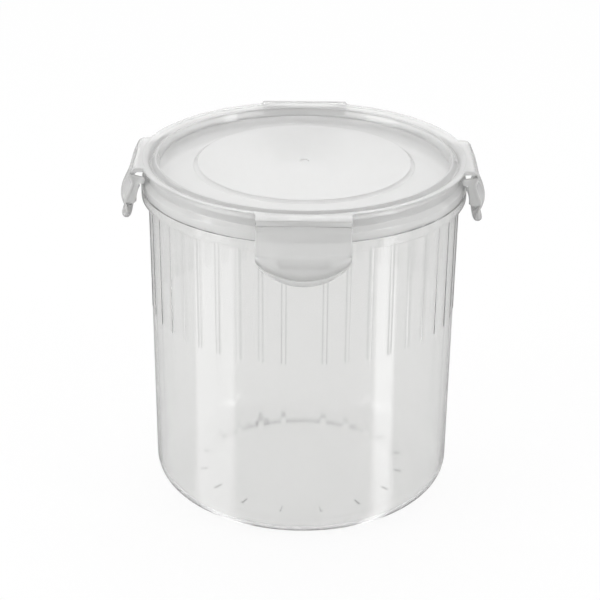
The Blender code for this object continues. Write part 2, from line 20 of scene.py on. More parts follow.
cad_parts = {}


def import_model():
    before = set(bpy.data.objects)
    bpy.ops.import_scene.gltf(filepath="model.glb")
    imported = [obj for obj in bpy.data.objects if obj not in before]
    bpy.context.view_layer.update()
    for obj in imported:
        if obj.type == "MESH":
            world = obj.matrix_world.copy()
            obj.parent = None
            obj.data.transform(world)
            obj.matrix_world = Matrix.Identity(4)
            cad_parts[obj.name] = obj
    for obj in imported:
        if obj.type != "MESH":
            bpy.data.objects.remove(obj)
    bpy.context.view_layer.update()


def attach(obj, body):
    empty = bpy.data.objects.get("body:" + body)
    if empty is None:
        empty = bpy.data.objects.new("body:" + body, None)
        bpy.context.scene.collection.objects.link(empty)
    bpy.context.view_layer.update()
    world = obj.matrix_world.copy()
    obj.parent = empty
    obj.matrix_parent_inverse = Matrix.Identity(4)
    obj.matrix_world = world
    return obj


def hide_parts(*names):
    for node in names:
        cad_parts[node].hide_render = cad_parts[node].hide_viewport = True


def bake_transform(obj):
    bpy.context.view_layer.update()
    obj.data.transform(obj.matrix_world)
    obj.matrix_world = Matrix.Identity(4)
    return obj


LOG = logging.getLogger("canister")
MM = 0.001
SHARP_ANGLE = radians(32)
STRAIGHT_ANGLE = radians(179)
MERGE_DISTANCE = 0.001 * MM
ROUNDING_ROOM_SHARE = 0.49
QUARTERS = 4

Profile = list[tuple[float, float]]
Point = tuple[float, float, float]
Tint = tuple[float, float, float]
Ring = list[Point]


class Side(Enum):
    """The four sides of the canister that carry a clip flap: name, azimuth, outward lean."""

    FRONT = ("front", -pi / 2, radians(13))
    RIGHT = ("right", 0.0, radians(10.5))
    BACK = ("back", pi / 2, radians(13))
    LEFT = ("left", pi, radians(14))

    @property
    def label(self) -> str:
        """The side's name, as the CAD nodes have it."""
        return self.value[0]

    @property
    def azimuth(self) -> float:
        """Angle of the side about the canister's axis, from +X."""
        return self.value[1]

    @property
    def lean(self) -> float:
        """How far the hanging flap leans outwards from its latched place."""
        return self.value[2]


# Lines in the profile plane

def arc(centre: tuple[float, float], radius: float, start: float, end: float, steps: int) -> Profile:
    """Points of a circular arc in the profile plane, both ends included."""
    turns = [start + (end - start) * step / steps for step in range(steps + 1)]
    return [(centre[0] + radius * cos(turn), centre[1] + radius * sin(turn)) for turn in turns]


def rounded(corners: Sequence[Point], steps: int = 5) -> Profile:
    """Rounds the corners of a line in the profile plane.

    Args:
        corners: Points of the line, each with the radius of its rounding.
        steps: Segments in each rounding.

    Returns:
        The points of the rounded line, from its first corner to its last.
    """
    line = [corners[0][:2]]
    for before, corner, after in zip(corners, corners[1:], corners[2:]):
        middle = Vector(corner[:2])
        back = Vector(before[:2]) - middle
        ahead = Vector(after[:2]) - middle
        angle = back.angle(ahead)
        if corner[2] == 0 or angle > STRAIGHT_ANGLE:
            line.append(corner[:2])
            continue
        room = min(back.length, ahead.length) * ROUNDING_ROOM_SHARE
        reach = min(corner[2] / tan(angle / 2), room)
        radius = reach * tan(angle / 2)
        bisector = (back.normalized() + ahead.normalized()).normalized()
        centre = middle + bisector * (radius / sin(angle / 2))
        first = middle + back.normalized() * reach - centre
        last = middle + ahead.normalized() * reach - centre
        start = atan2(first.y, first.x)
        sweep = (atan2(last.y, last.x) - start + pi) % (2 * pi) - pi
        line += arc((centre.x, centre.y), radius, start, start + sweep, steps)
    line.append(corners[-1][:2])
    return line


def smooth_line(points: Sequence[Sequence[float]], parts: int) -> list[tuple[float, ...]]:
    """Draws a smooth line through points by a Catmull-Rom spline.

    Args:
        points: The points to pass through, each of any number of values.
        parts: Pieces between two neighbouring points.

    Returns:
        The points of the smooth line.
    """
    line: list[tuple[float, ...]] = []
    for index in range(len(points) - 1):
        a = points[max(index - 1, 0)]
        b = points[index]
        c = points[index + 1]
        d = points[min(index + 2, len(points) - 1)]
        for part in range(parts):
            t = part / parts
            line.append(tuple(
                0.5 * (2 * q + (r - p) * t + (2 * p - 5 * q + 4 * r - s) * t * t
                       + (3 * q - p - 3 * r + s) * t ** 3)
                for p, q, r, s in zip(a, b, c, d)))
    line.append(tuple(points[-1]))
    return line


def thickened(line: Sequence[Sequence[float]]) -> Profile:
    """Closed outline of a strip about its middle line.

    Args:
        line: Points of the middle line, each with the strip's thickness there.

    Returns:
        The points along one side, then those of the other side back.
    """
    upper = []
    lower = []
    for number, (x, z, thickness) in enumerate(line):
        before = line[max(number - 1, 0)]
        after = line[min(number + 1, len(line) - 1)]
        heading = atan2(after[1] - before[1], after[0] - before[0])
        half = thickness / 2
        upper.append((x - sin(heading) * half, z + cos(heading) * half))
        lower.append((x + sin(heading) * half, z - cos(heading) * half))
    return upper + lower[::-1]


def smooth_step(share: float) -> float:
    """A smooth step from 0 to 1."""
    held = min(max(share, 0.0), 1.0)
    return held * held * (3 - 2 * held)


def at_radius(radius: float, across: float) -> float:
    """How far out a circle about the canister's axis is, at a distance from a flap's middle."""
    return sqrt(radius * radius - across * across)


def at_azimuth(point: Point, turn: float) -> Point:
    """Turns a point, given as reach, distance across and height, to a side of the canister."""
    reach, across, height = point
    return (reach * cos(turn) - across * sin(turn), reach * sin(turn) + across * cos(turn), height)


# Bodies from profiles and rings

def finished(name: str, sketch: bmesh.types.BMesh) -> bpy.types.Object:
    """Makes an object of a sketch of closed bodies, with its faces pointing out.

    Args:
        name: Name of the new object.
        sketch: The sketch, which is used up.

    Returns:
        The new object.
    """
    bmesh.ops.remove_doubles(sketch, verts=sketch.verts, dist=MERGE_DISTANCE)
    bmesh.ops.recalc_face_normals(sketch, faces=sketch.faces)
    mesh = bpy.data.meshes.new(name)
    sketch.to_mesh(mesh)
    sketch.free()
    item = bpy.data.objects.new(name, mesh)
    bpy.context.collection.objects.link(item)
    return item


def turned(name: str, profile: Profile, steps: int, closed: bool = False) -> bpy.types.Object:
    """Turns a profile about the Z axis.

    Args:
        name: Name of the new object.
        profile: Radii and heights of the profile's points.
        steps: Segments round the axis.
        closed: Whether the profile's last point joins its first.

    Returns:
        The turned body as a new object.
    """
    sketch = bmesh.new()
    turns = [2 * pi * step / steps for step in range(steps)]
    rows = []
    for radius, height in profile:
        if radius < MERGE_DISTANCE:
            rows.append([sketch.verts.new((0, 0, height))] * steps)
            continue
        rows.append([
            sketch.verts.new((radius * cos(turn), radius * sin(turn), height)) for turn in turns])
    pairs = list(zip(rows, rows[1:]))
    if closed:
        pairs.append((rows[-1], rows[0]))
    for near, far in pairs:
        for step in range(steps):
            after = (step + 1) % steps
            corners = [near[step], near[after], far[after], far[step]]
            sketch.faces.new(list(dict.fromkeys(corners)))
    return finished(name, sketch)


def lofted(name: str, rings: Sequence[Ring]) -> bpy.types.Object:
    """Joins rings of equally many points into one closed body, with a face at each end.

    Args:
        name: Name of the new object.
        rings: The rings, in order along the body.

    Returns:
        The body as a new object.
    """
    sketch = bmesh.new()
    rows = [[sketch.verts.new(point) for point in ring] for ring in rings]
    count = len(rows[0])
    for near, far in zip(rows, rows[1:]):
        for index in range(count):
            after = (index + 1) % count
            sketch.faces.new((near[index], near[after], far[after], far[index]))
    sketch.faces.new(rows[0][::-1])
    sketch.faces.new(rows[-1])
    return finished(name, sketch)


def united(name: str, target: bpy.types.Object,
           operands: Sequence[bpy.types.Object] = ()) -> bpy.types.Object:
    """Unites closed bodies into one, makes their modifiers real and removes them.

    Args:
        name: Name of the new object.
        target: The body that the others are added to.
        operands: The bodies to add.

    Returns:
        The united body as a new object with a plain mesh.
    """
    for operand in operands:
        union = target.modifiers.new(operand.name, "BOOLEAN")
        union.operation = "UNION"
        union.solver = "EXACT"
        union.object = operand
    view = bpy.context.evaluated_depsgraph_get()
    mesh = bpy.data.meshes.new_from_object(target.evaluated_get(view))
    mesh.name = name
    for item in (target, *operands):
        bpy.data.objects.remove(item, do_unlink=True)
    result = bpy.data.objects.new(name, mesh)
    bpy.context.collection.objects.link(result)
    return result


def dress(item: bpy.types.Object, material: bpy.types.Material) -> None:
    """Gives a piece its finish and shades it smooth but for its real edges.

    Args:
        item: The piece.
        material: Its finish.
    """
    item.data.materials.clear()
    item.data.materials.append(material)
    item.data.shade_smooth()
    item.data.set_sharp_from_angle(angle=SHARP_ANGLE)


# Node trees

def fill(tree: bpy.types.NodeTree, node: bpy.types.Node, inputs: dict[str | int, object]) -> None:
    """Sets or links the inputs of a node.

    Args:
        tree: The tree that the node is in.
        node: The node.
        inputs: Values, or sockets to link, by the name or number of the input.
    """
    for key, value in inputs.items():
        if isinstance(value, bpy.types.NodeSocket):
            tree.links.new(value, node.inputs[key])
        else:
            node.inputs[key].default_value = value


def add_node(tree: bpy.types.NodeTree, kind: str, inputs: dict[str | int, object],
             **settings: str) -> bpy.types.Node:
    """Adds a node to a tree.

    Args:
        tree: The tree that the node goes into.
        kind: Type of the node.
        inputs: Values, or sockets to link, by the name or number of the input.
        settings: The node's own settings.

    Returns:
        The new node.
    """
    node = tree.nodes.new(kind)
    for name, value in settings.items():
        setattr(node, name, value)
    fill(tree, node, inputs)
    return node


def reckon(tree: bpy.types.NodeTree, operation: str, *values: object) -> bpy.types.NodeSocket:
    """Adds a Math node with its values set or linked, and returns its result."""
    return add_node(tree, "ShaderNodeMath", dict(enumerate(values)), operation=operation).outputs[0]


def from_axis(tree: bpy.types.NodeTree, where: bpy.types.NodeSocket) -> bpy.types.NodeSocket:
    """Distance of a point from the Z axis.

    Args:
        tree: Node tree of the finish.
        where: The point's object coordinates.

    Returns:
        A socket with the distance.
    """
    flat = add_node(
        tree, "ShaderNodeVectorMath", {0: where, 1: (1, 1, 0)}, operation="MULTIPLY").outputs[0]
    return add_node(tree, "ShaderNodeVectorMath", {0: flat}, operation="LENGTH").outputs["Value"]


def uneven_skin(tree: bpy.types.NodeTree, where: bpy.types.NodeSocket, grain: tuple[float, float],
                gloss_range: tuple[float, float]) -> tuple[bpy.types.NodeSocket, bpy.types.NodeSocket]:
    """Varies a finish's roughness by a soft noise.

    Args:
        tree: Node tree of the finish.
        where: Object coordinates.
        grain: Scale and detail of the noise.
        gloss_range: Least and greatest roughness.

    Returns:
        Sockets with the noise and with the roughness.
    """
    noise = add_node(tree, "ShaderNodeTexNoise", {
        "Vector": where, "Scale": grain[0], "Detail": grain[1]}).outputs["Fac"]
    gloss = add_node(tree, "ShaderNodeMapRange", {
        "Value": noise, "To Min": gloss_range[0], "To Max": gloss_range[1]}).outputs["Result"]
    return noise, gloss


@dataclass(frozen=True)
class RingOfCopies:
    """Copies of a shape set about the Z axis by Geometry Nodes, in equal groups with gaps."""

    copies: int
    per_group: int
    first_angle: float
    spacing: float

    def tree(self) -> bpy.types.GeometryNodeTree:
        """Builds the node tree that sets the copies, with a named input for each size.

        Returns:
            The new tree.
        """
        tree = bpy.data.node_groups.new("ring_of_copies", "GeometryNodeTree")
        face = tree.interface
        for label, kind in (("Shape", "Geometry"), ("Copies", "Int"), ("Per Group", "Int"),
                            ("First Angle", "Float"), ("Spacing", "Float"), ("Finish", "Material")):
            face.new_socket(label, in_out="INPUT", socket_type="NodeSocket" + kind)
        face.new_socket("Copies Out", in_out="OUTPUT", socket_type="NodeSocketGeometry")
        source = tree.nodes.new("NodeGroupInput").outputs
        index = tree.nodes.new("GeometryNodeInputIndex").outputs[0]
        group = reckon(tree, "FLOOR", reckon(tree, "DIVIDE", index, source["Per Group"]))
        number = reckon(
            tree, "SUBTRACT", index, reckon(tree, "MULTIPLY", group, source["Per Group"]))
        groups = reckon(tree, "DIVIDE", source["Copies"], source["Per Group"])
        group_turn = reckon(tree, "MULTIPLY", group, reckon(tree, "DIVIDE", 2 * pi, groups))
        copy_turn = reckon(tree, "MULTIPLY_ADD", number, source["Spacing"], source["First Angle"])
        turn = add_node(
            tree, "ShaderNodeCombineXYZ", {"Z": reckon(tree, "ADD", group_turn, copy_turn)})
        points = add_node(tree, "GeometryNodePoints", {"Count": source["Copies"]})
        place = add_node(tree, "GeometryNodeInstanceOnPoints", {
            "Points": points.outputs[0], "Instance": source["Shape"], "Rotation": turn.outputs[0]})
        real = add_node(tree, "GeometryNodeRealizeInstances", {0: place.outputs[0]})
        coat = add_node(tree, "GeometryNodeSetMaterial", {
            "Geometry": real.outputs[0], "Material": source["Finish"]})
        add_node(tree, "NodeGroupOutput", {0: coat.outputs[0]})
        return tree

    def apply(self, shape: bpy.types.Object, material: bpy.types.Material) -> bpy.types.Object:
        """Sets the copies of a shape and returns them as one object with a plain mesh.

        Args:
            shape: The shape at angle 0, which is used up.
            material: Finish of the copies.

        Returns:
            All copies as one object.
        """
        modifier = shape.modifiers.new("ring", "NODES")
        modifier.node_group = self.tree()
        values = {"Copies": self.copies, "Per Group": self.per_group,
                  "First Angle": self.first_angle, "Spacing": self.spacing, "Finish": material}
        for socket in modifier.node_group.interface.items_tree:
            if socket.in_out == "INPUT" and socket.name in values:
                modifier[socket.identifier] = values[socket.name]
        return united(shape.name + "_ring", shape)


# Finishes

@dataclass(frozen=True)
class GripRibs:
    """The low upright ribs on the container's wall, equally many in each quarter."""

    per_quarter: int = 10
    width: float = 2.1 * MM
    height: float = 0.2 * MM
    length: float = 49.4 * MM
    margin: float = radians(7.3)
    shift: float = radians(0.6)
    arch_shares: tuple[tuple[float, float], ...] = (
        (0.0, 0.0), (0.28, 0.15), (0.51, 0.30), (0.75, 0.50), (0.91, 0.70), (1.0, 0.9))

    @property
    def first_angle(self) -> float:
        """Angle of the first rib of a quarter."""
        return self.margin + self.shift

    @property
    def spacing(self) -> float:
        """Angle between two ribs of a quarter."""
        return (pi / 2 - 2 * self.margin) / (self.per_quarter - 1)


@dataclass(frozen=True)
class PaintedRibShade:
    """Painted shade: a soft dark line painted into the clear wall's colour along each grip rib's two
    flanks.
    """

    ribs: GripRibs = GripRibs()
    wall_radius: float = 63.5 * MM
    low: float = 80.5 * MM
    high: float = 129.3 * MM
    strength: float = 0.2
    line_share: float = 0.42
    lead: float = radians(3)

    def mask(self, tree: bpy.types.NodeTree, where: bpy.types.NodeSocket) -> bpy.types.NodeSocket:
        """How strongly the painted shade darkens a point of the wall, from its place on the canister.

        Args:
            tree: Node tree of the finish.
            where: The point's object coordinates.

        Returns:
            A socket with the strength on the ribs' flanks and 0 elsewhere.
        """
        place = add_node(tree, "ShaderNodeSeparateXYZ", {0: where}).outputs
        angle = reckon(tree, "ARCTAN2", place["Y"], place["X"])
        ahead = reckon(tree, "SUBTRACT", angle, self.ribs.first_angle - self.lead)
        along = reckon(tree, "FLOORED_MODULO", ahead, 2 * pi / QUARTERS)
        past = reckon(tree, "SUBTRACT", along, self.lead)
        number = reckon(tree, "ROUND", reckon(tree, "DIVIDE", past, self.ribs.spacing))
        held = reckon(
            tree, "MINIMUM", reckon(tree, "MAXIMUM", number, 0), self.ribs.per_quarter - 1)
        turn = reckon(tree, "SUBTRACT", past, reckon(tree, "MULTIPLY", held, self.ribs.spacing))
        aside = reckon(tree, "MULTIPLY", reckon(tree, "ABSOLUTE", turn), self.wall_radius)
        half = self.ribs.width / 2
        line_width = half * self.line_share
        off = reckon(tree, "ABSOLUTE", reckon(tree, "SUBTRACT", aside, half - line_width / 2))
        fall = reckon(tree, "SUBTRACT", 1, reckon(tree, "DIVIDE", off, line_width))
        above = reckon(tree, "GREATER_THAN", place["Z"], self.low)
        below = reckon(tree, "LESS_THAN", place["Z"], self.high)
        upright = reckon(tree, "MULTIPLY", above, below)
        line = reckon(tree, "MULTIPLY", reckon(tree, "MAXIMUM", fall, 0), upright)
        return reckon(tree, "MULTIPLY", line, self.strength)


@dataclass(frozen=True)
class ClearPlastic:
    """A see-through moulded plastic with a little haze, flow marks, a soft skin and, where given, painted
    shade on its grip ribs.
    """

    name: str
    tint: Tint
    clarity: float
    gloss_range: tuple[float, float]
    absorption: float
    refraction: float = 1.49
    absorbed: Tint = (0.62, 0.62, 0.62)
    ripple: float = 0.02
    ripple_depth: float = 1.0 * MM
    ripple_grain: tuple[float, float] = (60.0, 3.0)
    # Painted shade: dark lines painted into the base colour on the grip ribs' flanks, and their colour.
    painted_rib_shade: PaintedRibShade | None = None
    painted_shade_tint: Tint = (0, 0, 0)
    matt_radius: float = 0.0
    matt_edge: float = 0.4 * MM
    matt_gloss: float = 0.24
    matt_tint: Tint = (1.0, 1.0, 0.995)

    def build(self) -> bpy.types.Material:
        """Builds the finish as a node material.

        Returns:
            The new material.
        """
        material = bpy.data.materials.new(self.name)
        material.use_nodes = True
        tree = material.node_tree
        shader = tree.nodes["Principled BSDF"]
        fill(tree, shader, {
            "Transmission Weight": self.clarity, "IOR": self.refraction, "Base Color": (*self.tint, 1)})
        where = tree.nodes.new("ShaderNodeTexCoord").outputs["Object"]
        flow, skin = uneven_skin(tree, where, self.ripple_grain, self.gloss_range)
        if self.matt_radius:
            share = self.disc_share(tree, where)
            skin = add_node(tree, "ShaderNodeMix", {
                "Factor": share, "A": skin, "B": self.matt_gloss}).outputs["Result"]
            self.blend_tint(tree, share, self.matt_tint)
        # Painted shade: blends the dark colour into the base colour along the grip ribs' flanks.
        if self.painted_rib_shade:
            self.blend_tint(tree, self.painted_rib_shade.mask(tree, where), self.painted_shade_tint)
        marks = add_node(tree, "ShaderNodeBump", {
            "Strength": self.ripple, "Distance": self.ripple_depth, "Height": flow})
        fill(tree, shader, {"Roughness": skin, "Normal": marks.outputs["Normal"]})
        depth = add_node(tree, "ShaderNodeVolumeAbsorption", {
            "Color": (*self.absorbed, 1), "Density": self.absorption})
        fill(tree, tree.nodes["Material Output"], {"Volume": depth.outputs[0]})
        return material

    def blend_tint(self, tree: bpy.types.NodeTree, share: bpy.types.NodeSocket, other: Tint) -> None:
        """Blends the plastic's colour into another one where the share is above 0.

        Args:
            tree: Node tree of the finish.
            share: Share of the other colour.
            other: The other colour.
        """
        mix = add_node(tree, "ShaderNodeMix", {
            "Factor": share, "A": (*self.tint, 1), "B": (*other, 1)}, data_type="RGBA")
        fill(tree, tree.nodes["Principled BSDF"], {"Base Color": mix.outputs["Result"]})

    def disc_share(self, tree: bpy.types.NodeTree, where: bpy.types.NodeSocket) -> bpy.types.NodeSocket:
        """Finds the lid's disc, which is matter and whiter.

        Args:
            tree: Node tree of the finish.
            where: Object coordinates.

        Returns:
            A socket with 1 on the disc and 0 outside it.
        """
        return add_node(tree, "ShaderNodeMapRange", {
            "Value": from_axis(tree, where), "From Min": self.matt_radius,
            "From Max": self.matt_radius + self.matt_edge, "To Min": 1, "To Max": 0}).outputs["Result"]


@dataclass(frozen=True)
class SoftSeal:
    """Milky soft silicone with a matt skin."""

    name: str = "milky_silicone"
    tint: Tint = (0.86, 0.87, 0.87)
    grain: tuple[float, float] = (400.0, 2.0)
    gloss_range: tuple[float, float] = (0.42, 0.58)

    def build(self) -> bpy.types.Material:
        """Builds the finish as a node material.

        Returns:
            The new material.
        """
        material = bpy.data.materials.new(self.name)
        material.use_nodes = True
        tree = material.node_tree
        where = tree.nodes.new("ShaderNodeTexCoord").outputs["Object"]
        _, skin = uneven_skin(tree, where, self.grain, self.gloss_range)
        fill(tree, tree.nodes["Principled BSDF"], {"Base Color": (*self.tint, 1), "Roughness": skin})
        return material


# The clear wall's finish carries painted shade along the grip ribs' flanks.
CLEAR_WALL = ClearPlastic(
    "clear_polypropylene", tint=(0.95, 0.95, 0.945), clarity=0.88, gloss_range=(0.05, 0.10),
    absorption=18.0, painted_rib_shade=PaintedRibShade())
HAZY_LID = ClearPlastic(
    "hazy_polypropylene", tint=(0.945, 0.945, 0.94), clarity=0.62, gloss_range=(0.04, 0.07),
    absorption=9.0, matt_radius=43.6 * MM)
# The clip finish is the lid's plastic with its own clarity, gloss and absorption. Its greyer tint is
# painted shade that darkens the flaps.
SHADED_CLIP = ClearPlastic(
    "clip_polypropylene_painted_shade", tint=(0.90, 0.90, 0.895), clarity=0.54, gloss_range=(0.12, 0.18),
    absorption=6.0)


# The canister's sub-assemblies

@dataclass
class Container:
    """The clear container: wall, foot, floor panel, latch flange, neck, grip ribs, floor marks."""

    finish: bpy.types.Material
    ribs: GripRibs = GripRibs()
    base_radius: float = 62.7 * MM
    draft: float = 1.15 * MM
    wall: float = 1.4 * MM
    floor: float = 1.6 * MM
    corner_radius: float = 9.9 * MM
    foot_width: float = 5.9 * MM
    panel_rise: float = 1.2 * MM
    panel_slope: float = 7.0 * MM
    panel_round: float = 20.0 * MM
    flange_level: float = 129.3 * MM
    flange_height: float = 4.2 * MM
    flange_reach: float = 2.95 * MM
    neck_setback: float = 0.95 * MM
    neck_height: float = 5.7 * MM
    edge_round: float = 0.5 * MM
    seat_round: float = 0.2 * MM
    undercut_round: float = 1.2 * MM
    tick_count: int = 16
    tick_size: Point = (3.2 * MM, 1.0 * MM, 0.6 * MM)
    tick_margin: float = 2.6 * MM
    mark_radius: float = 3.1 * MM
    mark_width: float = 0.9 * MM
    mark_height: float = 1.4 * MM
    mark_angle: float = radians(115.5)
    steps: int = 256
    inside_steps: int = 12
    outside_steps: int = 14
    rib_end_steps: int = 8
    mark_steps: int = 32
    mark_round_steps: int = 3

    def wall_radius(self, height: float) -> float:
        """Outer radius of the drafted wall at a height."""
        return self.base_radius + self.draft * height / self.flange_level

    @property
    def foot_inner(self) -> float:
        """Inner radius of the foot ring."""
        return self.wall_radius(self.corner_radius) - self.corner_radius - self.foot_width

    def floor_level(self, radius: float) -> float:
        """Height of the floor's top at a radius: up the panel's slope and level inside it."""
        share = min(max((self.foot_inner - radius) / self.panel_slope, 0), 1)
        return self.floor + self.panel_rise * share

    def profile(self) -> Profile:
        """Outline of the container's wall and floor.

        Returns:
            Points from the middle of the floor over the rim to the middle of the underside.
        """
        top_radius = self.wall_radius(self.flange_level)
        flange = top_radius + self.flange_reach
        flange_top = self.flange_level + self.flange_height
        rim = flange_top + self.neck_height
        neck = top_radius - self.neck_setback
        neck_inner = neck - self.wall
        middle = self.wall_radius(self.corner_radius) - self.corner_radius
        inner_round = self.corner_radius - self.floor
        inner_middle = self.wall_radius(self.corner_radius) - self.wall - inner_round
        panel = self.foot_inner - self.panel_slope
        shift = self.floor / 2
        soft = self.edge_round
        line = rounded([
            (0, self.floor + self.panel_rise, 0),
            (panel + shift, self.floor + self.panel_rise, self.panel_round),
            (self.foot_inner + shift, self.floor, self.panel_round),
            (inner_middle, self.floor, 0)])
        line += arc(
            (inner_middle, self.corner_radius), inner_round, -pi / 2, 0, self.inside_steps)[1:]
        line += rounded([
            (line[-1][0], line[-1][1], 0),
            (top_radius - self.wall, self.flange_level, 2 * soft),
            (neck_inner, flange_top, 2 * soft),
            (neck_inner, rim, soft),
            (neck, rim, soft),
            (neck, flange_top, soft),
            (flange, flange_top, self.seat_round),
            (flange, self.flange_level, soft),
            (top_radius, self.flange_level, self.undercut_round),
            (self.wall_radius(self.corner_radius), self.corner_radius, 0)])[1:]
        line += arc(
            (middle, self.corner_radius), self.corner_radius, 0, -pi / 2, self.outside_steps)[1:]
        line += rounded([
            (middle, 0, 0), (self.foot_inner, 0, soft), (panel, self.panel_rise, self.panel_round),
            (0, self.panel_rise, 0)])[1:]
        return line

    def rib(self) -> bpy.types.Object:
        """Makes one grip rib at angle 0: a low arched bar down the wall with a round lower end.

        Returns:
            The rib, rooted in the wall.
        """
        low = self.flange_level - self.ribs.length + self.ribs.width / 2
        top = self.flange_level + self.edge_round
        levels = [(-self.wall / 2, 0.0)]
        levels += [(rise * self.ribs.height, draw) for rise, draw in self.ribs.arch_shares]
        rings = []
        for stand_out, draw in levels:
            half = self.ribs.width / 2 * (1 - draw)
            outline = arc((0, low), half, -pi, 0, self.rib_end_steps) + [(half, top), (-half, top)]
            rings.append([
                (self.wall_radius(height) + stand_out, across, height) for across, height in outline])
        return lofted("grip_rib", rings)

    def tick(self) -> bpy.types.Object:
        """Makes one raised tick of the floor at angle 0.

        Returns:
            The tick, rooted in the floor.
        """
        length, width, height = self.tick_size
        outer = self.foot_inner - self.tick_margin
        inner = outer - length
        half = width / 2
        rings = []
        for rise, inset in ((-self.floor / 2, 0), (height / 2, 0), (height, height / 2)):
            corners = ((inner + inset, inset - half), (outer - inset, inset - half),
                       (outer - inset, half - inset), (inner + inset, half - inset))
            rings.append([(reach, across, self.floor_level(reach) + rise) for reach, across in corners])
        return lofted("floor_tick", rings)

    def ring_mark(self) -> bpy.types.Object:
        """Makes the plain raised ring on the floor.

        Returns:
            The ring, rooted in the floor.
        """
        reach = self.foot_inner - self.tick_margin - self.mark_radius
        level = self.floor_level(reach)
        root = level - self.floor / 2
        top = level + self.mark_height
        inner = self.mark_radius - self.mark_width
        soft = self.mark_width / 4
        profile = rounded([
            (inner, root, 0), (inner, top, soft), (self.mark_radius, top, soft),
            (self.mark_radius, root, 0)], self.mark_round_steps)
        mark = turned("ring_mark", profile, self.mark_steps, closed=True)
        mark.data.transform(Matrix.Translation((
            reach * cos(self.mark_angle), reach * sin(self.mark_angle), 0)))
        return mark

    def build(self) -> bpy.types.Object:
        """Builds the container and puts it on its body.

        Returns:
            The container.
        """
        shell = turned("shell", self.profile(), self.steps)
        ribs = RingOfCopies(
            QUARTERS * self.ribs.per_quarter, self.ribs.per_quarter, self.ribs.first_angle,
            self.ribs.spacing)
        ticks = RingOfCopies(self.tick_count, 1, pi / self.tick_count, 0)
        piece = united("clear_container", shell, (
            ribs.apply(self.rib(), self.finish), ticks.apply(self.tick(), self.finish), self.ring_mark()))
        dress(piece, self.finish)
        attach(piece, "container")
        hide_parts("container")
        return piece


